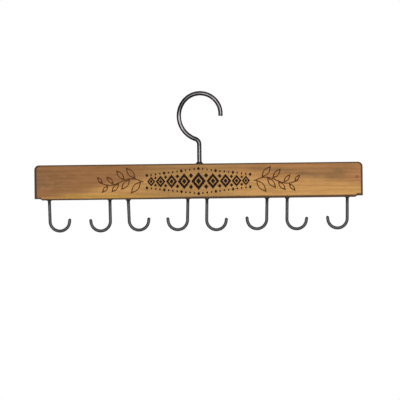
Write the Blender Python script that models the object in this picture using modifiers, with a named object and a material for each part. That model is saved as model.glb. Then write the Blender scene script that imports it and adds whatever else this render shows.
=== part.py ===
"""Belt hanger: a wooden bar under a swivelling wire hook, with wire hooks for belts along its underside.

Metres, +Z up. X runs along the bar, whose front faces -Y. The origin is the rail seat: it lies on the
swivel's axis, level with the underside of the hook's crown, where the hanger rests on a rail.
"""

from math import atan2, ceil, cos, pi, radians, sin, sqrt

import bmesh
import bpy

# Clearances
SEAT_GAP = 0.0003  # between two faces that rest on each other
HOLE_GAP = 0.0003  # all round a piece in its drilled hole
BORE_GAP = 0.0003  # all round a wire in a bush, washer or collar

# Wooden bar
BAR_LENGTH = 0.420
BAR_HEIGHT = 0.045
BAR_THICKNESS = 0.018
TOP_CORNER_RADIUS = 0.006
ARRIS_WIDTH = 0.0010  # rounding along every long edge
END_FLAT_LENGTH = 0.0072  # at each end the underside steps up to a raised flat
END_SLOPE_LENGTH = 0.0026
END_RISE = 0.0018

# Swivel hook, bent from one wire
HOOK_WIRE_DIAMETER = 0.0057
LOOP_RADIUS = 0.0264  # to the wire's centreline, as every bend radius here
LOOP_HEIGHT = 0.0641  # from the bar's top to the loop's centre
LOOP_OFFSET = 0.0014  # from the swivel's axis to the loop's centre, towards the open side
SWEEP_RADIUS = 0.0313  # wider arc between the neck and the loop
SWEEP_MEETS_LOOP = radians(147)  # where that arc runs into the loop
NECK_RADIUS = 0.0075  # bend at the top of the shank
TIP_ANGLE = radians(-5.5)  # where the loop ends, from the horizontal
TIP_CHAMFER = 0.0005
SWIVEL_OFFSET = 0.0014  # from the bar's middle to the swivel's axis

# Swivel: a flanged bush in the bar's top, and a washer between it and the head of the hook's shank
BUSH_WALL = 0.0008
BUSH_DEPTH = 0.0140  # length of its body in the wood
BUSH_LEDGE = 0.0010  # how far the flange reaches past the body
FLANGE_HEIGHT = 0.0020
FLANGE_RIM = 0.0005
FLANGE_LIP = 0.0004  # wall left at the flange's upper edge
WASHER_THICKNESS = 0.0008
HEAD_HEIGHT = 0.0018
HEAD_CHAMFER = 0.0004
HOLE_SPARE_DEPTH = 0.0010  # free depth under the head

# Belt hooks: pairs that face each other, with a screw shank in the bar's underside
LEFT_MARGIN = 0.0180  # from the bar's end to the first shank
RIGHT_MARGIN = 0.0192
LEFT_BACK_SPACING = 0.0236  # between the shanks of two hooks that stand back to back
MIDDLE_BACK_SPACING = 0.0245
RIGHT_BACK_SPACING = 0.0259
FIRST_PAIR_EXTRA = 0.0006  # the first pair stands this much wider than the last two, and the second closer
LEANS = [radians(lean) for lean in (1.4, 0.7, 1.9, -1.6, -1.3, -1.6, -1.3, -0.8)]  # to +X, from the left
BELT_WIRE_DIAMETER = 0.0040
BEND_RADIUS = 0.0125
BEND_DROP = 0.0273  # from the bar's underside to the bend's centre
BEND_SWEEP = radians(172)
BELT_TIP_LENGTH = 0.0049
SCREW_DEPTH = 0.0160
SCREW_POINT_LENGTH = 0.0050
SCREW_POINT_DIAMETER = 0.0010
COLLAR_LEDGE = 0.0010  # how far a collar reaches past its screw's hole
COLLAR_HEIGHT = 0.0016
COLLAR_RIM = 0.0004
COLLAR_LIP = 0.0003

# Fineness of the round shapes
ARC_STEP = radians(10)
WIRE_BEVEL_RESOLUTION = 5
TURNING_STEPS = 24
HOLE_SIDES = 24
FLARE_STEPS = 4
ROUND_END_STEPS = 4
CORNER_STEPS = 6

# Finishes: linear colour, roughness, metallic
WOOD = ((0.42, 0.22, 0.085), 0.55, 0.0)
HOOK_STEEL = ((0.11, 0.105, 0.11), 0.30, 1.0)
BELT_HOOK_STEEL = ((0.09, 0.09, 0.095), 0.38, 1.0)
FITTING_STEEL = ((0.05, 0.048, 0.05), 0.45, 1.0)

# Sizes that follow from the ones above
HOOK_WIRE = HOOK_WIRE_DIAMETER / 2
BELT_WIRE = BELT_WIRE_DIAMETER / 2
BAR_TOP = HOOK_WIRE - LOOP_RADIUS - LOOP_HEIGHT
BUSH_BORE = HOOK_WIRE + BORE_GAP
BUSH_BODY = BUSH_BORE + BUSH_WALL
WASHER_TOP = -BUSH_DEPTH - SEAT_GAP
HEAD_TOP = WASHER_TOP - WASHER_THICKNESS - SEAT_GAP
HEAD_BOTTOM = HEAD_TOP - HEAD_HEIGHT
SCREW_HOLE = BELT_WIRE + HOLE_GAP


def make_collection(name):
    collection = bpy.data.collections.new(name)
    bpy.context.scene.collection.children.link(collection)
    return collection


def finish_piece(piece, finish, collection, parent, location):
    """Give a piece its material, its collection, and its place under its parent."""
    colour, roughness, metallic = finish
    material = bpy.data.materials.new(piece.name)
    material.use_nodes = True
    shader = material.node_tree.nodes["Principled BSDF"]
    shader.inputs["Base Color"].default_value = (*colour, 1)
    shader.inputs["Roughness"].default_value = roughness
    shader.inputs["Metallic"].default_value = metallic
    piece.data.materials.append(material)
    collection.objects.link(piece)
    piece.parent = parent
    piece.location = location
    return piece


def arc(centre, radius, start, end):
    """Points (x, z) along an arc, both ends included."""
    steps = ceil(abs(end - start) / ARC_STEP)
    angles = [start + (end - start) * i / steps for i in range(steps + 1)]
    return [(centre[0] + radius * cos(a), centre[1] + radius * sin(a)) for a in angles]


def wire(name, path):
    """A round wire along path, a list of (x, z, radius) in the XZ plane."""
    curve = bpy.data.curves.new(name, "CURVE")
    curve.dimensions = "3D"
    curve.bevel_depth = max(radius for _, _, radius in path)
    curve.bevel_resolution = WIRE_BEVEL_RESOLUTION
    curve.use_fill_caps = True
    spline = curve.splines.new("POLY")
    spline.points.add(len(path) - 1)
    spline.use_smooth = True
    for point, (x, z, radius) in zip(spline.points, path):
        point.co = (x, 0, z, 1)
        point.radius = radius / curve.bevel_depth
    return bpy.data.objects.new(name, curve)


def turned(name, profile):
    """A ring turned about Z from a closed profile (radius, z), given down its outer side first."""
    mesh = bpy.data.meshes.new(name)
    last = len(profile) - 1
    edges = [(i, i + 1) for i in range(last)] + [(last, 0)]
    mesh.from_pydata([(radius, 0, z) for radius, z in profile], edges, [])
    piece = bpy.data.objects.new(name, mesh)
    screw = piece.modifiers.new("turning", "SCREW")
    screw.steps = TURNING_STEPS
    screw.render_steps = TURNING_STEPS
    screw.use_merge_vertices = True
    screw.merge_threshold = 0.00001
    return piece


def flare(wide, narrow, rim, height):
    """Profile points of a trumpet-shaped flange, from the top of its rim to its narrow lip."""
    turns = [pi / 2 * i / FLARE_STEPS for i in range(FLARE_STEPS + 1)]
    return [(wide - (wide - narrow) * sin(t), rim + (height - rim) * (1 - cos(t))) for t in turns]


def hole_cutter(name, radius, depth, mouth, inward, collection, parent):
    """A drill's shape that enters parent at mouth (x, z) and runs along Z, inward being +1 or -1."""
    overshoot = depth / 10
    mesh = bpy.data.meshes.new(name)
    drill = bmesh.new()
    bmesh.ops.create_cone(
        drill, cap_ends=True, segments=HOLE_SIDES, radius1=radius, radius2=radius, depth=depth + overshoot
    )
    drill.to_mesh(mesh)
    drill.free()
    cutter = bpy.data.objects.new(name, mesh)
    collection.objects.link(cutter)
    cutter.parent = parent
    cutter.location = (mouth[0], 0, mouth[1] + inward * (depth - overshoot) / 2)
    cutter.hide_render = True
    cutter.display_type = "WIRE"
    return cutter


def cut_hole(piece, cutter):
    cut = piece.modifiers.new(cutter.name, "BOOLEAN")
    cut.operation = "DIFFERENCE"
    cut.object = cutter


def bar_outline():
    """The bar's front outline about its middle: rounded top corners and a stepped-up underside at the ends."""
    half_length = BAR_LENGTH / 2
    half_height = BAR_HEIGHT / 2
    corner = (half_length - TOP_CORNER_RADIUS, half_height - TOP_CORNER_RADIUS)
    turns = [pi / 2 * i / CORNER_STEPS for i in range(CORNER_STEPS + 1)]
    flat_start = half_length - END_FLAT_LENGTH
    right = [
        (flat_start - END_SLOPE_LENGTH, -half_height),
        (flat_start, END_RISE - half_height),
        (half_length, END_RISE - half_height),
    ]
    right += [(corner[0] + TOP_CORNER_RADIUS * cos(t), corner[1] + TOP_CORNER_RADIUS * sin(t)) for t in turns]
    return right + [(-x, z) for x, z in reversed(right)]


def flat_board(name, outline, thickness):
    """A board cut to outline (x, z), as a mesh that can be drilled."""
    board = bmesh.new()
    front = board.faces.new([board.verts.new((x, -thickness / 2, z)) for x, z in outline])
    extruded = bmesh.ops.extrude_face_region(board, geom=[front])["geom"]
    back = [item for item in extruded if isinstance(item, bmesh.types.BMVert)]
    bmesh.ops.translate(board, verts=back, vec=(0, thickness, 0))
    bmesh.ops.recalc_face_normals(board, faces=board.faces)
    mesh = bpy.data.meshes.new(name)
    board.to_mesh(mesh)
    board.free()
    return bpy.data.objects.new(name, mesh)


def make_bar(swivel_axis, pieces, cutters):
    """The wooden bar, drilled from above for the swivel and from below for each belt hook's screw."""
    bar = flat_board("wood_bar", bar_outline(), BAR_THICKNESS)
    finish_piece(bar, WOOD, pieces, swivel_axis, (-SWIVEL_OFFSET, 0, -BAR_HEIGHT / 2))
    arris = bar.modifiers.new("arris", "BEVEL")
    arris.width = ARRIS_WIDTH
    arris.segments = 2
    arris.limit_method = "ANGLE"
    arris.angle_limit = radians(30)
    hole_depth = HOLE_SPARE_DEPTH - HEAD_BOTTOM
    top = (SWIVEL_OFFSET, BAR_HEIGHT / 2)
    cut_hole(bar, hole_cutter("swivel_hole", BUSH_BODY + HOLE_GAP, hole_depth, top, -1, cutters, bar))
    screw_hole_depth = SCREW_DEPTH + HOLE_GAP
    for number, (x, _) in enumerate(belt_hook_places(), start=1):
        bottom = (x, -BAR_HEIGHT / 2)
        name = f"screw_hole_{number}"
        cut_hole(bar, hole_cutter(name, SCREW_HOLE, screw_hole_depth, bottom, 1, cutters, bar))
    return bar


def make_swivel_hook(pieces):
    """The hook: an upset head, a straight shank, the neck, the sweep and the loop, all one wire."""
    loop = (LOOP_OFFSET, LOOP_HEIGHT)
    excess = SWEEP_RADIUS - LOOP_RADIUS
    sweep = (loop[0] - excess * cos(SWEEP_MEETS_LOOP), loop[1] - excess * sin(SWEEP_MEETS_LOOP))
    reach = SWEEP_RADIUS + NECK_RADIUS
    neck = (-NECK_RADIUS, sweep[1] - sqrt(reach**2 - (sweep[0] + NECK_RADIUS) ** 2))
    sweep_start = atan2(neck[1] - sweep[1], neck[0] - sweep[0]) + 2 * pi
    bends = arc(neck, NECK_RADIUS, 0, sweep_start - pi)
    bends += arc(sweep, SWEEP_RADIUS, sweep_start, SWEEP_MEETS_LOOP)[1:]
    bends += arc(loop, LOOP_RADIUS, SWEEP_MEETS_LOOP, TIP_ANGLE)[1:]
    tip_x = bends[-1][0] + TIP_CHAMFER * sin(TIP_ANGLE)
    tip_z = bends[-1][1] - TIP_CHAMFER * cos(TIP_ANGLE)
    path = [
        (0, HEAD_BOTTOM, BUSH_BODY - HEAD_CHAMFER),
        (0, HEAD_BOTTOM + HEAD_CHAMFER, BUSH_BODY),
        (0, HEAD_TOP, BUSH_BODY),
        (0, HEAD_TOP + SEAT_GAP, HOOK_WIRE),
    ]
    path += [(x, z, HOOK_WIRE) for x, z in bends]
    path += [(tip_x, tip_z, HOOK_WIRE - TIP_CHAMFER)]
    hook = wire("swivel_hook", path)
    return finish_piece(hook, HOOK_STEEL, pieces, None, (0, 0, BAR_TOP))


def make_swivel_fittings(hook, swivel_axis, pieces):
    """The bush that is fixed in the bar, and the washer that it turns on, which the hook's head carries."""
    lip = BUSH_BORE + FLANGE_LIP
    outside = flare(BUSH_BODY + BUSH_LEDGE, lip, SEAT_GAP + FLANGE_RIM, SEAT_GAP + FLANGE_HEIGHT)
    flange_top = outside[-1][1]
    profile = outside[::-1] + [
        (BUSH_BODY + BUSH_LEDGE, SEAT_GAP),
        (BUSH_BODY, SEAT_GAP),
        (BUSH_BODY, -BUSH_DEPTH),
        (BUSH_BORE, -BUSH_DEPTH),
        (BUSH_BORE, flange_top),
    ]
    finish_piece(turned("swivel_bush", profile), FITTING_STEEL, pieces, swivel_axis, (0, 0, 0))
    washer = [
        (BUSH_BODY, WASHER_TOP),
        (BUSH_BODY, WASHER_TOP - WASHER_THICKNESS),
        (BUSH_BORE, WASHER_TOP - WASHER_THICKNESS),
        (BUSH_BORE, WASHER_TOP),
    ]
    finish_piece(turned("swivel_washer", washer), FITTING_STEEL, pieces, hook, (0, 0, 0))


def belt_hook_places():
    """Each belt hook's place along the bar, from its middle, and the side it opens to, from left to right."""
    gaps = [LEFT_MARGIN, LEFT_BACK_SPACING, MIDDLE_BACK_SPACING, RIGHT_BACK_SPACING]
    mean_span = (BAR_LENGTH - sum(gaps) - RIGHT_MARGIN) / len(gaps)
    spans = [mean_span + FIRST_PAIR_EXTRA, mean_span - FIRST_PAIR_EXTRA, mean_span, mean_span]
    x = -BAR_LENGTH / 2
    places = []
    for gap, span in zip(gaps, spans):
        places += [(x + gap, 1), (x + gap + span, -1)]
        x += gap + span
    return places


def belt_hook_path(side, lean):
    """A belt hook's wire: screw point and shank above the bar's underside at z = 0, and a leaning J below it."""
    bend = arc((BEND_RADIUS, -BEND_DROP), BEND_RADIUS, pi, pi + BEND_SWEEP)
    along = (sin(BEND_SWEEP), -cos(BEND_SWEEP))
    straight = BELT_TIP_LENGTH - BELT_WIRE
    end = (bend[-1][0] + straight * along[0], bend[-1][1] + straight * along[1])
    below = [(x, z, BELT_WIRE) for x, z in bend]
    for i in range(ROUND_END_STEPS):
        turn = pi / 2 * i / ROUND_END_STEPS
        reach = BELT_WIRE * sin(turn)
        below += [(end[0] + reach * along[0], end[1] + reach * along[1], BELT_WIRE * cos(turn))]
    path = [
        (0, SCREW_DEPTH, SCREW_POINT_DIAMETER / 2),
        (0, SCREW_DEPTH - SCREW_POINT_LENGTH, BELT_WIRE),
        (0, 0, BELT_WIRE),
    ]
    for x, z, radius in below:
        path += [(side * x * cos(lean) - z * sin(lean), side * x * sin(lean) + z * cos(lean), radius)]
    return path


def make_belt_hooks(bar, pieces):
    """The belt hooks, and the flared collar that each one's shank passes through at the wood."""
    lip = BELT_WIRE + BORE_GAP + COLLAR_LIP
    outside = flare(SCREW_HOLE + COLLAR_LEDGE, lip, SEAT_GAP + COLLAR_RIM, SEAT_GAP + COLLAR_HEIGHT)
    collar_bottom = -outside[-1][1]
    profile = [(SCREW_HOLE + COLLAR_LEDGE, -SEAT_GAP)]
    profile += [(radius, -height) for radius, height in outside]
    profile += [(BELT_WIRE + BORE_GAP, collar_bottom), (BELT_WIRE + BORE_GAP, -SEAT_GAP)]
    for number, ((x, side), lean) in enumerate(zip(belt_hook_places(), LEANS), start=1):
        place = (x, 0, -BAR_HEIGHT / 2)
        hook = wire(f"belt_hook_{number}", belt_hook_path(side, lean))
        finish_piece(hook, BELT_HOOK_STEEL, pieces, bar, place)
        collar = turned(f"belt_hook_collar_{number}", profile)
        finish_piece(collar, FITTING_STEEL, pieces, bar, place)


def main():
    for old in list(bpy.data.objects):
        bpy.data.objects.remove(old)
    pieces = make_collection("belt_hanger")
    cutters = make_collection("cutters")
    swivel_axis = bpy.data.objects.new("swivel_axis", None)
    swivel_axis.location = (0, 0, BAR_TOP)
    pieces.objects.link(swivel_axis)
    hook = make_swivel_hook(pieces)
    make_swivel_fittings(hook, swivel_axis, pieces)
    bar = make_bar(swivel_axis, pieces, cutters)
    make_belt_hooks(bar, pieces)


main()
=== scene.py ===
from contextlib import contextmanager
from functools import cached_property
from math import atan2, cos, pi, radians, sin, sqrt

import bmesh
import bpy
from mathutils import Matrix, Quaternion, Vector


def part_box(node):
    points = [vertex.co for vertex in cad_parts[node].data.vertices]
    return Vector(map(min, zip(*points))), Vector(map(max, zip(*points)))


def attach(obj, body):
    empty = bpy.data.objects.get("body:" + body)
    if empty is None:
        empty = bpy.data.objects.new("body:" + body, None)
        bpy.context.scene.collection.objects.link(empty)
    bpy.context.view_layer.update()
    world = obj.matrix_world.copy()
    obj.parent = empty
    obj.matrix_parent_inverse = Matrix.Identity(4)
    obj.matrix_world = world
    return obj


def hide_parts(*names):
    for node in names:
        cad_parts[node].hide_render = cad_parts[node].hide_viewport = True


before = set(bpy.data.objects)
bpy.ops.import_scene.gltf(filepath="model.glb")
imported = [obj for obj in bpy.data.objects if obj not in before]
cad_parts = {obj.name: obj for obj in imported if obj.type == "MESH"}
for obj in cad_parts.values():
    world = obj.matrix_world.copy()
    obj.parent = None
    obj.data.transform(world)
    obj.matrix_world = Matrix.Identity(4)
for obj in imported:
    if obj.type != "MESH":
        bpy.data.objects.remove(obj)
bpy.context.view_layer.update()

bl_info = {
    "name": "Belt hanger",
    "version": (1, 0, 0),
    "blender": (4, 5, 0),
    "location": "3D View > Sidebar > Belt hanger",
    "description": "A stained wooden bar on a swivelling steel hook, with steel hooks for belts",
    "category": "Add Mesh",
}

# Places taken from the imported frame
BAR_LOW, BAR_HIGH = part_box("wood_bar")
BAR_MIDDLE = (BAR_LOW + BAR_HIGH) / 2
HALF_BAR = BAR_HIGH.x - BAR_MIDDLE.x
BUSH_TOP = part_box("swivel_bush")[1].z
HOOK_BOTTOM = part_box("swivel_hook")[0].z

# Of the belt hooks from the left: how far their lower ends lean to +X, in degrees, and the share of
# each collar's height that stands below the wood
LEANS = (1.4, 0.7, 1.9, -1.6, -1.3, -1.6, -1.3, -0.8)
COLLARS_SHOWN = (0.5, 0.5, 1.0, 0.4, 0.5, 0.6, 0.6, 0.4)

# Painted reflections on the swivel hook, lighter and darker places where its highlight brightens and
# dims: angle on the arc in degrees, reach, and ratio of tone
LOOP_PAINTED_REFLECTIONS = (
    (-1, 0.005, 0.85),
    (24, 0.010, 0.77),
    (47, 0.006, 1.2),
    (75, 0.006, 1.4),
    (92, 0.005, 0.9),
    (120, 0.008, 0.80),
    (155, 0.016, 0.41),
    (182, 0.011, 1.45),
    (210, 0.009, 1.12),
)
# Painted reflection at the neck, darker where its highlight dims: angle on the bend, reach, and ratio
# of tone
NECK_PAINTED_REFLECTION = (45, 0.014, 0.55)

NEAR = 1e-5  # places closer than this count as the same
LIP_SLOPE = 0.0001  # from the outer down to the inner edge of a flange's or collar's lip


def from_srgb(red, green, blue):
    """A screen colour, 0 to 255, as the linear colour that shaders use."""
    return tuple(((value / 255 + 0.055) / 1.055) ** 2.4 for value in (red, green, blue))


def length(name, description, default):
    return bpy.props.FloatProperty(
        name=name, description=description, default=default, min=0, unit="LENGTH", precision=4
    )


def angle(name, description, default):
    return bpy.props.FloatProperty(
        name=name, description=description, default=radians(default), subtype="ANGLE"
    )


def colour(name, description, default):
    return bpy.props.FloatVectorProperty(
        name=name, description=description, default=default, subtype="COLOR", size=3, min=0, max=1
    )


class HangerSizes(bpy.types.PropertyGroup):
    """Sizes of the hanger's parts"""

    top_corner: length("Top corner", "Radius of the bar's upper corners", 0.006)
    arris: length("Arris", "Rounding along the bar's edges", 0.0010)
    end_flat: length("End flat", "Length of the raised flat at each end of the underside", 0.0072)
    end_slope: length("End slope", "Length of the slope up to that flat", 0.0026)
    end_rise: length("End rise", "How far the flat lies above the underside", 0.0018)

    hook_wire: length("Hook wire", "Diameter of the swivel hook's wire", 0.0057)
    loop_radius: length("Loop radius", "To the middle of the wire", 0.0264)
    loop_height: length("Loop height", "From the bar's top to the loop's centre", 0.0641)
    loop_offset: length("Loop offset", "From the swivel's axis to the loop's centre", 0.0014)
    sweep_radius: length("Sweep radius", "Of the wider arc between neck and loop", 0.0313)
    sweep_end: angle("Sweep end", "Where the wider arc runs into the loop", 147)
    neck_radius: length("Neck radius", "Of the bend at the top of the shank", 0.0075)
    tip_angle: angle("Tip angle", "Where the loop ends, from the horizontal", -5.5)
    tip_chamfer: length("Tip chamfer", "On the cut end of the wire", 0.0005)

    bush_depth: length("Bush depth", "How far the bush goes into the bar", 0.0140)
    bush_wall: length("Bush wall", "Thickness round the shank", 0.0008)
    flange_reach: length("Flange reach", "How far the bush's flange reaches past its body", 0.0010)
    flange_rim: length("Flange rim", "Height of the flange's straight rim", 0.0007)
    flange_lip: length("Flange lip", "Wall at the flange's upper edge", 0.0004)
    head_height: length("Head height", "Of the shank's upset head", 0.0018)
    head_chamfer: length("Head chamfer", "On the upset head", 0.0004)

    belt_wire: length("Belt hook wire", "Diameter of a belt hook's wire", 0.0040)
    bend_radius: length("Bend radius", "Of a belt hook, to the middle of the wire", 0.0125)
    bend_drop: length("Bend drop", "From the underside to the bend's centre", 0.0273)
    bend_sweep: angle("Bend sweep", "How far the wire turns", 172)
    tip_length: length("Tip length", "Straight end of a belt hook, its round included", 0.0049)
    screw_depth: length("Screw depth", "How far a belt hook goes into the bar", 0.0160)
    screw_taper: length("Screw taper", "Length of the screw's point", 0.0050)
    collar_reach: length("Collar reach", "Radius of a collar at the wood", 0.0033)
    collar_rim: length("Collar rim", "Height of a collar's straight rim", 0.0006)
    collar_lip: length("Collar lip", "Wall at a collar's lower edge", 0.0003)
    collar_height: length("Collar height", "How far a collar comes down the shank", 0.0019)
    play: length("Play", "Room round a wire in its bush, collar or hole", 0.0003)

    frieze_length: length("Frieze length", "Of the printed frieze on the bar's front", 0.132)
    frieze_height: length("Frieze height", "Of the printed frieze at its middle", 0.0230)
    border_offset: length("Border offset", "From the frieze's middle to the dots, at most", 0.0160)
    sprig_length: length("Sprig length", "Of each printed leaf sprig", 0.056)
    print_relief: length("Print relief", "How far the print stands off the wood", 0.00005)


class HangerColours(bpy.types.PropertyGroup):
    """Colours of the hanger's finishes"""

    brown: colour("Brown wood", "Stained heartwood at the left", from_srgb(150, 104, 60))
    chestnut: colour("Chestnut wood", "Heartwood at the right", from_srgb(170, 120, 69))
    honey: colour("Honey wood", "Lighter wood", from_srgb(196, 147, 85))
    amber: colour("Amber wood", "Middle of the bar", from_srgb(170, 132, 79))
    gold: colour("Golden wood", "Stripe along the lower edge", from_srgb(190, 145, 68))
    grey: colour("Greyed wood", "Dull patches", from_srgb(132, 101, 68))
    russet: colour("Russet wood", "Warm patches and round the knot", from_srgb(173, 118, 74))
    knot: colour("Knot", "Heart of the knot", from_srgb(128, 70, 40))
    edge: colour("Edge stain", "Dark stain along the edges", from_srgb(61, 42, 29))
    hook_steel: colour("Hook steel", "Darkened steel of the swivel hook", (0.080, 0.075, 0.077))
    belt_steel: colour("Belt hook steel", "Darkened steel of the belt hooks", (0.052, 0.051, 0.053))
    fitting_steel: colour("Fitting steel", "Blackened bush, washer and collars", (0.026, 0.022, 0.024))
    black_ink: colour("Black print", "Ink of the frieze", from_srgb(33, 18, 10))
    brown_ink: colour("Brown print", "Ink of the sprigs", from_srgb(84, 50, 26))
    floor: colour("Floor", "Pale floor", (0.86, 0.86, 0.86))


# Modelling

def choose(*pieces):
    """Selects these pieces alone, and makes the first of them active."""
    bpy.ops.object.select_all(action="DESELECT")
    for piece in pieces:
        piece.select_set(True)
    bpy.context.view_layer.objects.active = pieces[0]


@contextmanager
def editing(piece):
    """Edit mode on one piece, with all of it selected at the start."""
    choose(piece)
    bpy.ops.object.mode_set(mode="EDIT")
    bpy.ops.mesh.select_mode(type="VERT")
    bpy.ops.mesh.select_all(action="SELECT")
    yield
    bpy.ops.object.mode_set(mode="OBJECT")


def pick(piece, kind, test):
    """Selects the vertices, edges or faces that pass the test, in edit mode."""
    bpy.ops.mesh.select_mode(type=kind)
    bpy.ops.mesh.select_all(action="DESELECT")
    mesh = bmesh.from_edit_mesh(piece.data)
    for item in {"VERT": mesh.verts, "EDGE": mesh.edges, "FACE": mesh.faces}[kind]:
        item.select_set(test(item))
    mesh.select_flush_mode()
    bmesh.update_edit_mesh(piece.data)


def named(name):
    """The active piece, after its object and its mesh are given the name."""
    piece = bpy.context.active_object
    piece.name = name
    piece.data.name = name
    return piece


def settle(name, size=(1, 1, 1)):
    """Names the active piece, stretches it, and moves its place, turn and size into its mesh."""
    piece = named(name)
    piece.scale = size
    bpy.ops.object.transform_apply(location=True, rotation=True, scale=True)
    return piece


def block(name, low, high):
    """A block between two corners, the start of a piece of wood."""
    bpy.ops.object.select_all(action="DESELECT")
    middle = (Vector(low) + Vector(high)) / 2
    bpy.ops.mesh.primitive_cube_add(size=1, location=middle)
    return settle(name, Vector(high) - Vector(low))


def ring(name, centre, radius, sides):
    """A level ring of edges, the start of a wire or a turned piece."""
    bpy.ops.object.select_all(action="DESELECT")
    bpy.ops.mesh.primitive_circle_add(
        vertices=sides, radius=radius, fill_type="NOTHING", location=centre
    )
    return settle(name)


def draw_out(offset, ratio=1, about=None):
    """Extrudes the selected edges by an offset, then sizes them by a ratio about a point."""
    bpy.ops.mesh.extrude_edges_move(TRANSFORM_OT_translate={"value": offset})
    if ratio != 1:
        bpy.ops.transform.resize(value=(ratio, ratio, ratio), center_override=about)


def bend(centre, turn, step=radians(4)):
    """Spins the selected ring about centre (x, z), anticlockwise seen from the front."""
    bpy.ops.mesh.spin(
        steps=max(1, round(abs(turn) / step)),
        angle=turn,
        center=(centre[0], 0, centre[1]),
        axis=(0, 1, 0),
    )


def on_arc(centre, radius, turn):
    """The point (x, z) at an angle on an arc about centre (x, z)."""
    return Vector((centre.x + radius * cos(turn), centre.y + radius * sin(turn)))


def turn_profile(name, profile, sides):
    """A closed piece turned about the Z axis from rings (radius, z), the last joined to the first."""
    radius, z = profile[0]
    piece = ring(name, (0, 0, z), radius, sides)
    with editing(piece):
        for wide, level in profile[1:]:
            draw_out((0, 0, level - z), wide / radius, (0, 0, level))
            radius, z = wide, level
        pick_open(piece)
        bpy.ops.mesh.bridge_edge_loops()
    return close_up(piece)


def flare(wide, narrow, rim, height, steps=7):
    """Rings (radius, height) of a trumpet shape, from the top of its rim to its narrow lip."""
    turns = [pi / 2 * i / steps for i in range(steps + 1)]
    return [(wide - (wide - narrow) * sin(t), rim + (height - rim) * (1 - cos(t))) for t in turns]


def pick_open(piece, level=None):
    """Selects the open rings, or only the one at that height."""
    def is_open(edge):
        at_level = level is None or all(abs(v.co.z - level) < NEAR for v in edge.verts)
        return len(edge.link_faces) < 2 and at_level

    pick(piece, "EDGE", is_open)


def cap(piece, level):
    """Fills the open ring at that height, and leaves it selected as an open ring for drawing out."""
    pick_open(piece, level)
    bpy.ops.mesh.edge_face_add()
    pick_open(piece, level)


def close_up(piece, sharp=35):
    """Merges doubled points, turns the faces outwards, and shades by angle."""
    with editing(piece):
        bpy.ops.mesh.remove_doubles(threshold=0.000002)
        bpy.ops.mesh.normals_make_consistent(inside=False)
    bpy.ops.object.shade_smooth_by_angle(angle=radians(sharp))
    return piece


def apply_modifier(piece, kind, **settings):
    """Adds a modifier with its settings and applies it."""
    modifier = piece.modifiers.new(kind.lower(), kind)
    for name, value in settings.items():
        setattr(modifier, name, value)
    choose(piece)
    bpy.ops.object.modifier_apply(modifier=modifier.name)


def copy_of(piece, name):
    """A copy with its own mesh."""
    choose(piece)
    bpy.ops.object.duplicate(linked=False)
    return named(name)


def join(name, pieces):
    """Several pieces as one."""
    choose(*pieces)
    bpy.ops.object.join()
    return named(name)


def dress(piece, material, slot, body, *nodes):
    """Gives a piece its material, the body that carries it and the nodes it stands for; the slot is
    not used.
    """
    piece.data.materials.clear()
    piece.data.materials.append(material)
    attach(piece, body)
    if nodes:
        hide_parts(*nodes)


# Shaders

class Channel:
    """An output in a recipe's nodes, on which sums in Python become Math nodes."""

    def __init__(self, recipe, socket):
        self.recipe = recipe
        self.socket = socket

    def maths(self, operation, *values):
        """A Math node on the values."""
        return self.recipe.node("ShaderNodeMath", {"operation": operation}, dict(enumerate(values)))

    def outlet(self, output):
        """Another output of the same node."""
        return Channel(self.recipe, self.socket.node.outputs[output])

    def __add__(self, other):
        return self.maths("ADD", self, other)

    def __radd__(self, other):
        return self.maths("ADD", other, self)

    def __sub__(self, other):
        return self.maths("SUBTRACT", self, other)

    def __rsub__(self, other):
        return self.maths("SUBTRACT", other, self)

    def __mul__(self, other):
        return self.maths("MULTIPLY", self, other)

    def __rmul__(self, other):
        return self.maths("MULTIPLY", other, self)

    def __truediv__(self, other):
        return self.maths("DIVIDE", self, other)

    def __pow__(self, other):
        return self.maths("POWER", self, other)

    def __abs__(self):
        return self.maths("ABSOLUTE", self)

    def least(self, other):
        return self.maths("MINIMUM", self, other)

    def most(self, other):
        return self.maths("MAXIMUM", self, other)

    def root(self):
        return self.maths("SQRT", self)

    def sine(self):
        return self.maths("SINE", self)

    def rise(self, low, high):
        """0 below low, 1 above high, and smooth between them; low above high turns it round."""
        if low > high:
            return 1 - self.rise(high, low)
        values = {"Value": self, "From Min": low, "From Max": high}
        return self.recipe.node("ShaderNodeMapRange", {"interpolation_type": "SMOOTHSTEP"}, values)


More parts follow.
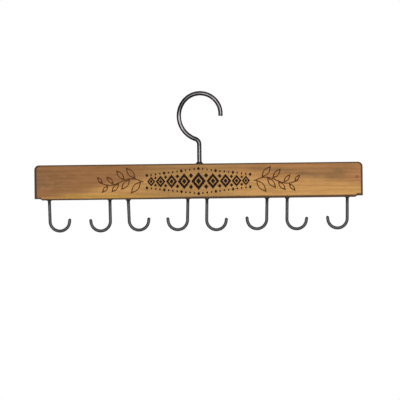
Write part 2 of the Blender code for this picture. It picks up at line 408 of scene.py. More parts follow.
class Recipe:
    """A material, or the world, and the nodes that it is being made from."""

    def __init__(self, owner):
        owner.use_nodes = True
        self.owner = owner
        self.tree = owner.node_tree
        self.end = next(node for node in self.tree.nodes if not node.outputs)
        self.shader = self.end.inputs["Surface"].links[0].from_node

    @cached_property
    def place(self):
        """The point's place on the object, in metres."""
        return self.node("ShaderNodeTexCoord", {}, {}, "Object")

    def node(self, kind, settings, values, output=0):
        """Adds a node: its settings first, then the values or links of its sockets."""
        node = self.tree.nodes.new(kind)
        for name, value in settings.items():
            if name == "stops":
                self.set_stops(node.color_ramp, value)
            else:
                setattr(node, name, value)
        for name, value in values.items():
            self.feed(node.inputs[name], value)
        return Channel(self, node.outputs[output])

    def set_stops(self, ramp, stops):
        """Gives a ramp its grey stops, each a place and a level."""
        ramp.interpolation = "EASE"
        while len(ramp.elements) < len(stops):
            ramp.elements.new(1)
        for element, (position, level) in zip(ramp.elements, stops):
            element.position = position
            element.color = (level, level, level, 1)

    def feed(self, socket, value):
        """Links a channel to a socket, or sets the socket's own value."""
        if isinstance(value, Channel):
            self.tree.links.new(value.socket, socket)
        elif hasattr(value, "__len__") and len(socket.default_value) == 4:
            socket.default_value = (*value, 1)
        else:
            socket.default_value = value

    def set(self, **values):
        """Values or links for the shader; an underscore in a name stands for a space."""
        for name, value in values.items():
            self.feed(self.shader.inputs[name.replace("_", " ")], value)

    def axes(self):
        """The point's three coordinates."""
        split = self.node("ShaderNodeSeparateXYZ", {}, {0: self.place})
        return [split.outlet(axis) for axis in "XYZ"]

    def noise(self, along, across, detail=2.0, roughness=0.5, shift=(0, 0, 0)):
        """Noise from 0 to 1, with its own cell counts to the metre along X and across it."""
        values = {"Vector": self.place, "Location": shift, "Scale": (along, across, across)}
        stretched = self.node("ShaderNodeMapping", {}, values)
        values = {"Vector": stretched, "Scale": 1.0, "Detail": detail, "Roughness": roughness}
        return self.node("ShaderNodeTexNoise", {}, values)

    def blend(self, share, first, second, kind="MIX"):
        """Colour first, going over to second by share."""
        settings = {"data_type": "RGBA", "blend_type": kind}
        return self.node("ShaderNodeMix", settings, {0: share, 6: first, 7: second}, 2)

    def relief(self, height, depth):
        """Feeds a height from 0 to 1 to the shader's normal as a bump of that depth."""
        self.set(Normal=self.node("ShaderNodeBump", {}, {"Height": height, "Distance": depth}))

    def show_white(self, kind, share=1):
        """Shows plain white, by share, to camera and mirror rays, and leaves the light as it is."""
        rays = self.node("ShaderNodeLightPath", {}, {}, "Is Camera Ray")
        seen = rays.most(rays.outlet("Is Glossy Ray")).most(rays.outlet("Is Transmission Ray"))
        lit = Channel(self, self.shader.outputs[0])
        white = self.node(kind, {}, {"Color": (1, 1, 1), "Strength": 1})
        shown = self.node("ShaderNodeMixShader", {}, {0: seen * share, 1: lit, 2: white})
        self.feed(self.end.inputs["Surface"], shown)


def wood_grain(wood):
    """The grain that wood and print share: growth bands, fine streaks and pores, each from 0 to 1."""
    x, y, z = wood.axes()
    pith_y, pith_z = 0.055, -0.215
    rings_to_metre = 205
    waver, slant = 3.2, 4.5  # in rings, the slant along each metre
    drift = wood.noise(6, 34) - 0.5
    from_pith = ((z - pith_z) ** 2 + (y - pith_y) ** 2).root()
    rings = from_pith * rings_to_metre + drift * waver + x * slant
    bands = (rings * (2 * pi)).sine() * 0.5 + 0.5
    streaks = wood.noise(16, 620, detail=3.0, roughness=0.6)
    pores = wood.noise(95, 1900, roughness=0.6, shift=(3, 5, 7)).rise(0.60, 0.72)
    return bands, streaks, pores


def edge_distance(wood, sizes):
    """Distances over the bar's surface from its edges: the top's and the ends', and the lower ones."""
    x, y, z = wood.axes()
    from_faces = BAR_HIGH.y - abs(y)
    out = abs(x - BAR_MIDDLE.x)
    corner = sizes.top_corner
    past_x = (out - (HALF_BAR - corner)).most(0)
    past_z = (z - (BAR_HIGH.z - corner)).most(0)
    upper = corner - (past_x * past_x + past_z * past_z).root()
    around = upper.least(HALF_BAR - out)
    flat_start = HALF_BAR - sizes.end_flat
    step = out.rise(flat_start - sizes.end_slope, flat_start)
    below = z - BAR_LOW.z - step * sizes.end_rise
    return around.most(from_faces), below.most(from_faces)


def stained_wood(sizes, colours):
    """Brown-stained board: darker above on the left, honey below on the right, a knot, dark edges."""
    wood = Recipe(bpy.data.materials.new("stained_wood"))
    x, _, z = wood.axes()
    along = (x - BAR_LOW.x) / (BAR_HIGH.x - BAR_LOW.x)
    up = (z - BAR_LOW.z) / (BAR_HIGH.z - BAR_LOW.z)
    bands, streaks, pores = wood_grain(wood)
    cloud = wood.noise(14, 70, detail=3.0) - 0.5
    speck = wood.noise(60, 130, detail=3.0, roughness=0.55, shift=(1, 2, 3)) - 0.5

    # Line between the darker upper wood and the lighter lower wood, as shares of length and height
    stops = [(0.0, 0.02), (0.12, 0.17), (0.24, 0.44), (0.38, 0.66)]
    stops += [(0.60, 0.72), (0.80, 0.56), (1.0, 0.48)]
    line = wood.node("ShaderNodeValToRGB", {"stops": stops}, {"Fac": along})
    light = (line - up + cloud * 0.45).rise(-0.16, 0.16)
    heart = wood.blend(along.rise(0.25, 0.75), colours.brown, colours.chestnut)
    tone = wood.blend(light, heart, colours.honey)

    middle = along.rise(0.27, 0.40) * along.rise(0.68, 0.56)
    tone = wood.blend(middle * 0.55, tone, colours.amber)

    # Golden stripe low on the left, dull patches, and a mottle over all of it
    stripe = up.rise(0.03, 0.07) * (up + cloud * 0.2).rise(0.17, 0.11)
    gold = stripe * along.rise(0.07, 0.10) * along.rise(0.45, 0.30)
    tone = wood.blend(gold * 0.9, tone, colours.gold)
    beside = abs(up - 0.87 + along.rise(0.62, 0.90) * 0.18 + cloud * 0.10)
    streak = beside / (along.rise(0.76, 0.92) * 0.15 + 0.065)
    right_patch = along.rise(0.58, 0.70) * along.rise(1.0, 0.94) * streak.rise(1.3, 0.4)
    worn = (cloud + speck).rise(-0.25, 0.20)
    left_patch = along.rise(0.17, 0.03) * up.rise(0.20, 0.40) * up.rise(1.0, 0.80)
    dull = (right_patch * (0.38 + 0.30 * worn)).most(left_patch * 0.7 * worn)
    tone = wood.blend(dull * 0.85, tone, colours.grey)
    mottle = (cloud * 1.2 + speck * 1.2).rise(-0.22, 0.30)
    tone = wood.blend(mottle * 0.42, tone, (0.70, 0.66, 0.60), "MULTIPLY")

    # Knot near the right end, wider than high, and warm wood round it and at the left end
    knot_x, knot_z = BAR_HIGH.x - 0.0072, BAR_HIGH.z - 0.0190
    aside = (x - knot_x) * 0.8
    above = z - knot_z
    from_knot = (aside * aside + above * above).root() + speck * 0.002
    halo = from_knot.rise(0.016, 0.003)
    warm = halo.most((speck + cloud * 0.6).rise(0.04, 0.30) * along.rise(0.30, 0.02))
    tone = wood.blend(warm * 0.7, tone, colours.russet)
    knot = from_knot.rise(0.0030, 0.0010)
    tone = wood.blend(knot * 0.65, tone, colours.knot)

    # Growth bands, streaks and pores darken it, and pale fibres lighten it
    shade = (0.66, 0.60, 0.52)
    tone = wood.blend(bands * 0.32, tone, shade, "MULTIPLY")
    tone = wood.blend(streaks.rise(0.38, 0.72) * 0.40, tone, shade, "MULTIPLY")
    pale = wood.noise(8, 260, shift=(2, 7, 4)).rise(0.46, 0.66)
    tone = wood.blend(pale * 0.6, tone, (1.16, 1.17, 1.15), "MULTIPLY")
    tone = wood.blend(pores * 0.35, tone, (0.45, 0.38, 0.32), "MULTIPLY")

    # Dark stain on the edges: widest at the ends, wider below towards the right, worn thin in places
    rim, left_more, right_more = 0.0014, 0.0017, 0.0009
    low_rim, low_more = 0.0017, 0.0010
    around, below = edge_distance(wood, sizes)
    reach = rim + left_more * along.rise(0.02, 0.0) + right_more * along.rise(0.98, 1.0)
    reach_below = low_rim + low_more * along.rise(0.30, 0.55)
    distance = (around / reach).least(below / reach_below) + speck * 0.4
    stain = distance.rise(1.45, 0.75) * (0.96 - 0.25 * (streaks - 0.5))
    tone = wood.blend(stain, tone, colours.edge)
    wood.set(Base_Color=tone, Specular_IOR_Level=0.12)
    wood.set(Roughness=0.50 + 0.16 * (streaks - 0.5) + 0.12 * pores)
    wood.relief(streaks * 0.5 + bands * 0.2 - pores * 0.6 + 0.6, depth=0.00012)
    return wood.owner


def print_ink(name, ink):
    """Matt print that lets the pores and the streaks of the wood show faintly."""
    layer = Recipe(bpy.data.materials.new(name))
    bands, streaks, pores = wood_grain(layer)
    thin = layer.noise(420, 420, roughness=0.6).rise(0.50, 0.78)
    lighter = tuple(min(1, value * 2.2 + 0.02) for value in ink)
    tone = layer.blend(thin * 0.20 + streaks * 0.10 - bands * 0.04, tuple(ink), lighter)
    tone = layer.blend(pores * 0.4, tone, (0.5, 0.45, 0.4), "MULTIPLY")
    layer.set(Base_Color=tone, Roughness=0.66 + 0.15 * (streaks - 0.5), Specular_IOR_Level=0.06)
    layer.relief(streaks * 0.5 - pores * 0.5 + 0.5, depth=0.00008)
    return layer.owner


def dark_steel(name, base, roughness, wire=None, patches=(), shaded_below=None):
    """Darkened steel: cloudy, finely pitted and, on a wire of that radius, with a painted highlight
    along its four sides and painted shade between them.

    A patch is a place (x, z), how far it reaches, and its tone as a ratio of the tone round it: a
    painted reflection, lighter or darker where the highlight brightens or dims. Where the steel comes
    out of the wood at a height, it is darkened for a short way below as painted shade under the wood.
    """
    painted_wire_shade = (0.26, 0.255, 0.26)
    painted_under_wood_shade = (0.36, 0.35, 0.37)
    under_wood_shade_full, under_wood_shade_end = 0.0020, 0.0085
    steel = Recipe(bpy.data.materials.new(name))
    x, y, z = steel.axes()
    clouds = steel.noise(70, 70, detail=3.0, roughness=0.6) - 0.5
    grit = steel.noise(1400, 1400, detail=3.0, roughness=0.65)
    rubbed = steel.noise(260, 260, detail=4.0, roughness=0.7, shift=(4, 1, 8)).rise(0.52, 0.75)
    paler = tuple(min(1, value * 1.7) for value in base)
    darker = tuple(value * 0.62 for value in base)
    tone = steel.blend((clouds * 0.5 + 0.20).rise(0.0, 1.0), tuple(base), darker)
    # Painted highlight and shade across the wire: paler at its front and back and at its sides in its
    # own plane, darker between them
    if wire:
        across = abs(y) / wire
        between = across.rise(0.988, 0.86) * across.rise(0.16, 0.44)
        tone = steel.blend(between, tone, painted_wire_shade, "MULTIPLY")
    tone = steel.blend(rubbed * 0.15, tone, paler)
    # Painted reflections: each patch makes the tone lighter or darker round its place
    for (middle_x, middle_z), reach, ratio in patches:
        away = ((x - middle_x) ** 2 + (z - middle_z) ** 2).root()
        tone = steel.blend(away.rise(reach, reach * 0.3), tone, (ratio, ratio, ratio), "MULTIPLY")
    # Painted shade under the wood: the steel is darker for a short way below where it comes out of the
    # wood
    if shaded_below is not None:
        stain = z.rise(shaded_below - under_wood_shade_end, shaded_below - under_wood_shade_full)
        tone = steel.blend(stain, tone, painted_under_wood_shade, "MULTIPLY")
    steel.set(Base_Color=tone, Metallic=1.0, Specular_Tint=(0.08, 0.08, 0.08))
    steel.set(Roughness=roughness + clouds * 0.10 + (grit - 0.5) * 0.06 - rubbed * 0.05)
    steel.relief(grit, depth=0.000003)
    return steel.owner


# Operators

def panel_values(context):
    """The sizes and the colours that the panel shows."""
    return context.scene.hanger_sizes, context.scene.hanger_colours


def belt_hook_places():
    """Each belt hook's number, its shank's X in its collar, and the side that it opens to."""
    places = []
    for number in range(1, len(LEANS) + 1):
        low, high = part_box(f"belt_hook_collar_{number}")
        places.append((number, (low.x + high.x) / 2, 1 if number % 2 else -1))
    return places


class MakeBar(bpy.types.Operator):
    """Cuts the wooden bar, eases its edges and drills it for the swivel and the belt hooks"""

    bl_idname = "hanger.bar"
    bl_label = "Wooden bar"

    def execute(self, context):
        sizes, colours = panel_values(context)
        bar = block("bar_board", BAR_LOW, BAR_HIGH)
        with editing(bar):
            pick(bar, "EDGE", self.is_top_corner)
            bpy.ops.mesh.bevel(offset=sizes.top_corner, segments=10, affect="EDGES")
            for inset in (sizes.end_flat, sizes.end_flat + sizes.end_slope):
                for side in (-1, 1):
                    bpy.ops.mesh.select_all(action="SELECT")
                    middle = (BAR_MIDDLE.x + side * (HALF_BAR - inset), 0, 0)
                    bpy.ops.mesh.bisect(plane_co=middle, plane_no=(1, 0, 0))
            pick(bar, "VERT", lambda v: self.is_end_flat(v, HALF_BAR - sizes.end_flat))
            bpy.ops.transform.translate(value=(0, 0, sizes.end_rise))
        self.drill(bar, sizes)
        apply_modifier(
            bar, "BEVEL", width=sizes.arris, segments=4, limit_method="ANGLE", angle_limit=radians(30)
        )
        close_up(bar, sharp=40)
        apply_modifier(bar, "WEIGHTED_NORMAL", keep_sharp=True)
        dress(bar, stained_wood(sizes, colours), "bar_wood", "bar", "wood_bar")
        return {"FINISHED"}

    def is_top_corner(self, edge):
        """Whether an edge runs from front to back along the top of an end."""
        first, second = (v.co for v in edge.verts)
        runs_back = abs(first.y - second.y) > NEAR
        at_end = abs(abs(first.x - BAR_MIDDLE.x) - HALF_BAR) < NEAR
        return runs_back and at_end and min(first.z, second.z) > BAR_MIDDLE.z

    def is_end_flat(self, vertex, limit):
        """Whether a point of the underside lies further out than the limit."""
        return vertex.co.z < BAR_LOW.z + NEAR and abs(vertex.co.x - BAR_MIDDLE.x) > limit - NEAR

    def drill(self, bar, sizes):
        """One hole from above for the bush and head, and one from below for each belt hook."""
        room = 0.001  # under the hook's head
        clear = 0.004  # how far a bit stands out of the wood
        bush = sizes.hook_wire / 2 + sizes.play + sizes.bush_wall
        drills = [(0, bush + sizes.play, HOOK_BOTTOM - room, BAR_HIGH.z + clear)]
        screw = sizes.belt_wire / 2 + sizes.play
        screw_end = BAR_LOW.z + sizes.screw_depth + sizes.play
        for _, shank_x, _ in belt_hook_places():
            drills.append((shank_x, screw, BAR_LOW.z - clear, screw_end))
        for x, radius, low, high in drills:
            bit = ring("drill_bit", (x, 0, low), radius, sides=32)
            with editing(bit):
                draw_out((0, 0, high - low))
                cap(bit, low)
                cap(bit, high)
            close_up(bit)
            apply_modifier(bar, "BOOLEAN", operation="DIFFERENCE", object=bit, solver="EXACT")
            bpy.data.objects.remove(bit)


class MakeSwivelHook(bpy.types.Operator):
    """Draws the swivel hook out of one wire: head, shank, neck, sweep and loop"""

    bl_idname = "hanger.swivel_hook"
    bl_label = "Swivel hook"

    def execute(self, context):
        sizes, colours = panel_values(context)
        wire = sizes.hook_wire / 2
        head = wire + sizes.play + sizes.bush_wall
        shoulder = 0.0001  # height of the step in from the head to the shank

        # Centres (x, z) of the loop, of the wider arc and of the neck's bend
        loop = Vector((sizes.loop_offset, BAR_HIGH.z + sizes.loop_height))
        excess = sizes.sweep_radius - sizes.loop_radius
        sweep = loop - excess * Vector((cos(sizes.sweep_end), sin(sizes.sweep_end)))
        between = sizes.sweep_radius + sizes.neck_radius
        aside = sweep.x + sizes.neck_radius
        neck = Vector((-sizes.neck_radius, sweep.y - sqrt(between**2 - aside**2)))
        sweep_start = atan2(neck.y - sweep.y, neck.x - sweep.x) + 2 * pi

        face = head - sizes.head_chamfer
        hook = ring("swivel_hook_wire", (0, 0, HOOK_BOTTOM), face, sides=40)
        with editing(hook):
            cap(hook, HOOK_BOTTOM)
            level = HOOK_BOTTOM + sizes.head_chamfer
            draw_out((0, 0, sizes.head_chamfer), head / face, (0, 0, level))
            draw_out((0, 0, sizes.head_height - sizes.head_chamfer))
            level = HOOK_BOTTOM + sizes.head_height
            draw_out((0, 0, shoulder), wire / head, (0, 0, level + shoulder))
            draw_out((0, 0, BAR_HIGH.z - level))
            draw_out((0, 0, neck.y - BAR_HIGH.z - shoulder))
            bend(neck, sweep_start - pi)
            bend(sweep, sizes.sweep_end - sweep_start)
            bend(loop, sizes.tip_angle - sizes.sweep_end)
            direction = Vector((sin(sizes.tip_angle), 0, -cos(sizes.tip_angle)))
            tip = on_arc(loop, sizes.loop_radius, sizes.tip_angle)
            self.round_edge(Vector((tip.x, 0, tip.y)), direction, wire, sizes.tip_chamfer)
            bpy.ops.mesh.edge_face_add()
        close_up(hook, sharp=50)

        # Painted reflections: lighter and darker places along the loop and at the neck
        patches = [
            (on_arc(loop, sizes.loop_radius, radians(turn)), reach, ratio)
            for turn, reach, ratio in LOOP_PAINTED_REFLECTIONS
        ]
        turn, reach, ratio = NECK_PAINTED_REFLECTION
        patches.append((on_arc(neck, sizes.neck_radius, radians(turn)), reach, ratio))
        steel = dark_steel(
            "hook_steel", colours.hook_steel, roughness=0.23, wire=wire, patches=patches
        )
        dress(hook, steel, "hook_steel", "hook", "swivel_hook")
        return {"FINISHED"}

    def round_edge(self, tip, direction, radius, rounding, steps=4):
        """Draws the wire's end out over a rounded edge, up to its flat face."""
        done = 0
        for i in range(1, steps + 1):
            turn = pi / 2 * i / steps
            along = rounding * sin(turn)
            narrower = radius - rounding * (cos(turn - pi / 2 / steps) - cos(turn))
            draw_out(direction * (along - done), narrower / radius, tip + direction * along)
            done, radius = along, narrower


class MakeSwivelFittings(bpy.types.Operator):
    """Turns the flared bush in the bar's top, and finishes the washer under it"""

    bl_idname = "hanger.swivel_fittings"
    bl_label = "Swivel bush and washer"

    def execute(self, context):
        sizes, colours = panel_values(context)
        bore = sizes.hook_wire / 2 + sizes.play
        body = bore + sizes.bush_wall
        lip = bore + sizes.flange_lip
        flange = body + sizes.flange_reach
        top = BAR_HIGH.z
        foot = top - sizes.bush_depth
        outside = flare(flange, lip, sizes.flange_rim, BUSH_TOP - top)
        rings = [(body, top), (flange, top)]
        rings += [(radius, top + rise) for radius, rise in outside]
        rings += [(bore, BUSH_TOP - LIP_SLOPE), (bore, foot), (body, foot)]
        bush = turn_profile("swivel_bush_turning", rings, sides=48)
        steel = dark_steel("fitting_steel", colours.fitting_steel, roughness=0.42)
        dress(bush, steel, "fitting_steel", "bar", "swivel_bush")
        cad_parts["swivel_washer"].material_slots[0].material = steel
        return {"FINISHED"}


class MakeBeltHooks(bpy.types.Operator):
    """Bends the first belt hook, and sets a copy of it at each place under the bar"""

    bl_idname = "hanger.belt_hooks"
    bl_label = "Belt hooks"

    def execute(self, context):
        sizes, colours = panel_values(context)
        # The belt hooks' steel gets painted shade just under the bar
        steel = dark_steel(
            "belt_hook_steel", colours.belt_steel, roughness=0.44, shaded_below=BAR_LOW.z
        )
        pattern = self.bend_hook(sizes)
        for number, shank_x, side in belt_hook_places():
            hook = copy_of(pattern, f"belt_hook_wire_{number}")
            with editing(hook):
                bpy.ops.transform.resize(value=(side, 1, 1), center_override=(0, 0, 0))
                bpy.ops.transform.translate(value=(shank_x, 0, BAR_LOW.z))
                pick(hook, "VERT", lambda v: v.co.z < BAR_LOW.z - NEAR)
                bpy.ops.transform.rotate(
                    value=radians(LEANS[number - 1]),
                    orient_axis="Y",
                    center_override=(shank_x, 0, BAR_LOW.z),
                )
            close_up(hook)
            dress(hook, steel, "belt_hook_steel", "bar", f"belt_hook_{number}")
        bpy.data.objects.remove(pattern)
        return {"FINISHED"}

    def bend_hook(self, sizes):
        """The hook at the origin, opening to the right: screw point, shank, bend and round end."""
        wire = sizes.belt_wire / 2
        point = 0.0005  # radius of the screw's point
        steps = 8  # rings in the round end
        hook = ring("belt_hook_pattern", (0, 0, sizes.screw_depth), point, sides=32)
        with editing(hook):
            cap(hook, sizes.screw_depth)
            level = sizes.screw_depth - sizes.screw_taper
            draw_out((0, 0, -sizes.screw_taper), wire / point, (0, 0, level))
            draw_out((0, 0, -level))
            draw_out((0, 0, -sizes.bend_drop))
            bend((sizes.bend_radius, -sizes.bend_drop), sizes.bend_sweep)
            along = Vector((sin(sizes.bend_sweep), 0, -cos(sizes.bend_sweep)))
            straight = sizes.tip_length - wire
            draw_out(along * straight)
            centre = Vector((
                sizes.bend_radius - sizes.bend_radius * cos(sizes.bend_sweep),
                0,
                -sizes.bend_drop - sizes.bend_radius * sin(sizes.bend_sweep),
            )) + along * straight
            for i in range(1, steps):
                before, after = (pi / 2 * k / steps for k in (i - 1, i))
                forward = wire * (sin(after) - sin(before))
                draw_out(along * forward, cos(after) / cos(before), centre + along * wire * sin(after))
            draw_out(along * wire * (1 - sin(after)))
            bpy.ops.mesh.merge(type="CENTER")
        return close_up(hook)


class MakeCollars(bpy.types.Operator):
    """Turns the flared collar at the first belt hook's shank, and copies it to the others"""

    bl_idname = "hanger.collars"
    bl_label = "Belt hook collars"

    def execute(self, context):
        sizes, colours = panel_values(context)
        steel = dark_steel("collar_steel", colours.fitting_steel, roughness=0.44)
        bore = sizes.belt_wire / 2 + sizes.play
        lip = bore + sizes.collar_lip
        under = BAR_LOW.z
        outside = flare(sizes.collar_reach, lip, sizes.collar_rim, sizes.collar_height)
        rings = [(bore, under), (sizes.collar_reach, under)]
        rings += [(radius, under - drop) for radius, drop in outside]
        rings += [(bore, under - sizes.collar_height + LIP_SLOPE)]
        pattern = turn_profile("collar_pattern", rings, sides=40)
        for number, shank_x, _ in belt_hook_places():
            collar = copy_of(pattern, f"belt_hook_flare_{number}")
            shown = COLLARS_SHOWN[number - 1]
            with editing(collar):
                bpy.ops.transform.resize(value=(1, 1, shown), center_override=(0, 0, under))
                bpy.ops.transform.translate(value=(shank_x, 0, 0))
            dress(collar, steel, "fitting_steel", "bar", f"belt_hook_collar_{number}")
        bpy.data.objects.remove(pattern)
        return {"FINISHED"}


class MakePrint(bpy.types.Operator):
    """Lays a printed frieze of lozenges inside a long lozenge of dots, with a sprig at each end"""

    bl_idname = "hanger.print"
    bl_label = "Printed ornament"

    def execute(self, context):
        sizes, colours = panel_values(context)
        self.front = BAR_LOW.y
        self.relief = sizes.print_relief
        black = print_ink("black_print", colours.black_ink)
        brown = print_ink("brown_print", colours.brown_ink)
        prints = (
            (self.frieze("printed_frieze", sizes), black),
            (self.dot_line("printed_dots_upper", sizes, 1), black),
            (self.dot_line("printed_dots_lower", sizes, -1), black),
            (self.sprig("printed_sprig_left", sizes, -1), brown),
            (self.sprig("printed_sprig_right", sizes, 1), brown),
        )
        for flat, ink in prints:
            dress(flat, ink, "bar_wood", "bar")
        return {"FINISHED"}

    def flat_circle(self, name, centre, wide, high, vertices):
        """A circle on the bar's front, stretched to its width and height, the start of a print."""
        bpy.ops.object.select_all(action="DESELECT")
        bpy.ops.mesh.primitive_circle_add(
            vertices=vertices, radius=0.5, fill_type="NGON", rotation=(pi / 2, 0, 0), location=centre
        )
        return settle(name, (wide, high, 1))

    def lozenge(self, x, z, wide, high, stroke=0):
        """A flat lozenge, or its outline if it has a stroke."""
        piece = self.flat_circle("lozenge", (x, self.front, z), wide, high, vertices=4)
        if stroke:
            with editing(piece):
                pick(piece, "FACE", lambda face: True)
                bpy.ops.mesh.inset(thickness=stroke, use_even_offset=True)
                bpy.ops.mesh.delete(type="FACE")
        return piece

    def frieze(self, name, sizes):
        """Lozenges side by side, the largest in the middle, with small ones where they meet."""
        count = 9
        fall = 0.11  # of the size, from each lozenge to the next one out
        stroke = 0.0034
        filled, heart, small, small_height = 0.96, 0.36, 0.30, 0.33  # shares of a lozenge's room
        shares = [1 - fall * abs(i - count // 2) for i in range(count)]
        unit = sizes.frieze_length / sum(shares)
        x = BAR_MIDDLE.x - sizes.frieze_length / 2
        pieces = []
        for i, share in enumerate(shares):
            if i:
                meeting = (shares[i - 1] + share) / 2
                wide, high = unit * meeting, sizes.frieze_height * meeting
                for above in (-1, 1):
                    z = BAR_MIDDLE.z + above * high * small_height
                    pieces.append(self.lozenge(x, z, wide * small, high * small))
            wide, high = unit * share, sizes.frieze_height * share
            x += wide / 2
            pieces.append(self.lozenge(x, BAR_MIDDLE.z, wide * filled, high, stroke * share))
            pieces.append(self.lozenge(x, BAR_MIDDLE.z, wide * heart, high * heart))
            x += wide / 2
        return self.thicken(name, pieces)

    def dot_line(self, name, sizes, above):
        """Small lozenges in a line that falls from the middle to both ends, every fourth larger."""
        half = 12
        fall = 0.5  # share of the border's height that the line loses towards each end
        large, little, slim = 0.0050, 0.0032, 0.8
        pieces = []
        for i in range(-half, half + 1):
            x = BAR_MIDDLE.x + i / half * sizes.frieze_length / 2
            z = BAR_MIDDLE.z + above * sizes.border_offset * (1 - fall * abs(i) / half)
            high = little if i % 4 else large
            pieces.append(self.lozenge(x, z, high * slim, high))
        return self.thicken(name, pieces)

    def leaf(self, x, z, long, wide, turn, stroke):
        """A pointed leaf's outline, turned about its base."""
        drawn = 1.35  # how much longer the points make the oval
        oval = long / drawn
        middle = (x + long / 2, self.front, z)
        piece = self.flat_circle("leaf", middle, oval, wide, vertices=28)

        def is_point(vertex):
            return abs(vertex.co.x - middle[0]) > oval / 2 - NEAR

        with editing(piece):
            pick(piece, "VERT", is_point)
            bpy.ops.transform.resize(value=(long / oval, 1, 1), center_override=middle)
            bpy.ops.mesh.select_all(action="INVERT")
            bpy.ops.mesh.vertices_smooth(factor=0.5, repeat=6)
            pick(piece, "FACE", lambda face: True)
            bpy.ops.mesh.inset(thickness=0)
            inside = 1 - 2 * stroke / wide
            bpy.ops.transform.resize(value=(inside, 1, inside), center_override=middle)
            bpy.ops.mesh.delete(type="FACE")
            bpy.ops.mesh.select_all(action="SELECT")
            bpy.ops.transform.rotate(value=turn, orient_axis="Y", center_override=(x, self.front, z))
        return piece

    def sprig(self, name, sizes, side):
        """A curved stem with leaves on both sides by turns, smaller towards its tip."""
        gap, wave = 0.005, 0.004  # between frieze and stem, and of the stem's curve
        steps = 24
        stem_stroke, leaf_stroke = 0.0014, 0.0013
        leaf_length, leaf_width, leaf_turn = 0.0215, 0.0088, radians(50)
        fall = 0.020  # of a leaf's size, for each step along the stem
        start = BAR_MIDDLE.x + side * (sizes.frieze_length / 2 + gap)
        stem = [
            (start + side * sizes.sprig_length * t, BAR_MIDDLE.z + wave * sin(t * 2 * pi))
            for t in (i / steps for i in range(steps + 1))
        ]
        pieces = [self.stem(stem, stem_stroke)]
        for i in range(1, steps, 3):
            x, z = stem[i]
            turn = leaf_turn if i % 2 else -leaf_turn
            if side < 0:
                turn = pi - turn
            share = 1 - fall * i
            leaf = self.leaf(x, z, leaf_length * share, leaf_width * share, -turn, leaf_stroke)
            pieces.append(leaf)
        return self.thicken(name, pieces)

    def stem(self, points, stroke):
        """A flat band along the points, a little deeper than the leaves that lie over it."""
        deeper = 0.2  # share of the relief
        x, z = points[0]
        place = (x, self.front + self.relief * deeper, z)
        bpy.ops.object.select_all(action="DESELECT")
        bpy.ops.mesh.primitive_plane_add(size=stroke, rotation=(pi / 2, 0, 0), location=place)
        band = settle("stem")
        forward = 1 if points[-1][0] > x else -1
        with editing(band):
            pick(band, "EDGE", lambda e: all((v.co.x - x) * forward > 0 for v in e.verts))
            for (x0, z0), (x1, z1) in zip(points, points[1:]):
                draw_out((x1 - x0, 0, z1 - z0))
        return band

    def thicken(self, name, pieces):
        """Joins flat prints and gives them their thickness, part of it in the wood."""
        flat = join(name, pieces)
        with editing(flat):
            pick(flat, "FACE", lambda face: face.normal.y > 0)
            bpy.ops.mesh.flip_normals()
            bpy.ops.mesh.select_all(action="SELECT")
            bpy.ops.transform.translate(value=(0, -self.relief, 0))
        apply_modifier(flat, "SOLIDIFY", thickness=self.relief * 2, offset=-1)
        return close_up(flat, sharp=30)


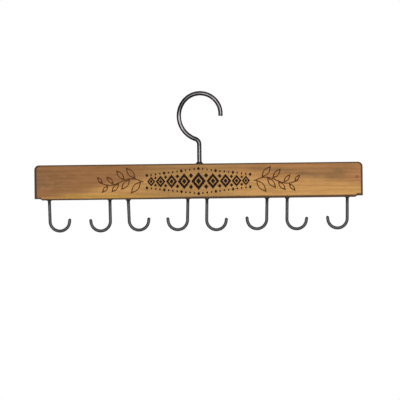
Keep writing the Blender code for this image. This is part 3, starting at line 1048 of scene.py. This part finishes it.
class MakeStage(bpy.types.Operator):
    """Sets the pale floor, the soft lamps, the white surroundings and the camera"""

    bl_idname = "hanger.stage"
    bl_label = "Stage"

    def execute(self, context):
        self.floor(context.scene.hanger_colours)
        self.surroundings(context)
        self.lamp("key", place=(0.26, -2.5, 0.02), size=(3.0, 0.40), power=48, roll=radians(20))
        self.lamp("overhead", place=(0.1, 0.4, 1.5), size=(1.4, 1.4), power=9)
        self.lamp("behind", place=(0.5, 2.3, 0.5), size=(1.7, 1.7), power=36)
        self.camera(context)
        context.scene.view_settings.view_transform = "Standard"
        return {"FINISHED"}

    def floor(self, colours):
        """A wide floor, whose shade goes over to plain white away from the hanger."""
        width, level = 80, -1.25
        near_white, shade_end, white_start = 0.75, 1.2, 4.0
        bpy.ops.object.select_all(action="DESELECT")
        bpy.ops.mesh.primitive_plane_add(size=width, location=(0, 0, level))
        floor = settle("floor")
        pale = Recipe(bpy.data.materials.new("pale_floor"))
        x, y, _ = pale.axes()
        away = (x * x + y * y).root().rise(shade_end, white_start)
        pale.set(Base_Color=tuple(colours.floor), Roughness=0.9, Specular_IOR_Level=0.0)
        pale.show_white("ShaderNodeEmission", away * (1 - near_white) + near_white)
        floor.data.materials.append(pale.owner)

    def surroundings(self, context):
        """A dim white world, which shows as plain white."""
        context.scene.world = bpy.data.worlds.new("studio")
        studio = Recipe(context.scene.world)
        studio.set(Color=(1, 1, 1), Strength=0.30)
        studio.show_white("ShaderNodeBackground")

    def lamp(self, name, place, size, power, roll=0):
        """A soft lamp, wide and high by size, that faces the bar's middle and isn't seen itself."""
        bpy.ops.object.select_all(action="DESELECT")
        bpy.ops.object.light_add(type="AREA", location=place)
        lamp = bpy.context.active_object
        lamp.name = name
        lamp.data.shape = "RECTANGLE"
        lamp.data.size, lamp.data.size_y = size
        lamp.data.energy = power
        facing = (Vector(BAR_MIDDLE) - Vector(place)).to_track_quat("-Z", "Y")
        lamp.rotation_euler = (facing @ Quaternion((0, 0, 1), roll)).to_euler()
        lamp.visible_camera = False

    def camera(self, context):
        """A level camera, square on to the bar's front and turned a little about its own axis."""
        lens, sensor, seen_width = 135.0, 36.0, 0.5116
        right, down, roll = 0.00156, 0.02417, radians(0.67)
        distance = seen_width * lens / sensor
        place = (BAR_MIDDLE.x + right, BAR_LOW.y - distance, BAR_MIDDLE.z - down)
        bpy.ops.object.select_all(action="DESELECT")
        bpy.ops.object.camera_add(location=place, rotation=(pi / 2, roll, 0))
        camera = bpy.context.active_object
        camera.name = "camera"
        camera.data.lens = lens
        camera.data.sensor_width = sensor
        camera.data.clip_end = 50
        context.scene.camera = camera


MAKERS = (
    MakeBar,
    MakeSwivelHook,
    MakeSwivelFittings,
    MakeBeltHooks,
    MakeCollars,
    MakePrint,
    MakeStage,
)


class HangerPanel(bpy.types.Panel):
    """Lists what makes the belt hanger"""

    bl_idname = "VIEW3D_PT_belt_hanger"
    bl_label = "Belt hanger"
    bl_space_type = "VIEW_3D"
    bl_region_type = "UI"
    bl_category = "Belt hanger"

    def draw(self, context):
        column = self.layout.column(align=True)
        for maker in MAKERS:
            column.operator(maker.bl_idname)
        for group in (context.scene.hanger_sizes, context.scene.hanger_colours):
            box = self.layout.box()
            for name in group.__annotations__:
                box.prop(group, name)


CLASSES = (HangerSizes, HangerColours, *MAKERS, HangerPanel)


def register():
    for made in CLASSES:
        bpy.utils.register_class(made)
    bpy.types.Scene.hanger_sizes = bpy.props.PointerProperty(type=HangerSizes)
    bpy.types.Scene.hanger_colours = bpy.props.PointerProperty(type=HangerColours)


def unregister():
    del bpy.types.Scene.hanger_colours
    del bpy.types.Scene.hanger_sizes
    for made in reversed(CLASSES):
        bpy.utils.unregister_class(made)


def main():
    register()
    bpy.ops.object.select_all(action="DESELECT")
    bpy.ops.hanger.bar()
    bpy.ops.hanger.swivel_hook()
    bpy.ops.hanger.swivel_fittings()
    bpy.ops.hanger.belt_hooks()
    bpy.ops.hanger.collars()
    bpy.ops.hanger.print()
    bpy.ops.hanger.stage()


if __name__ == "__main__":
    main()
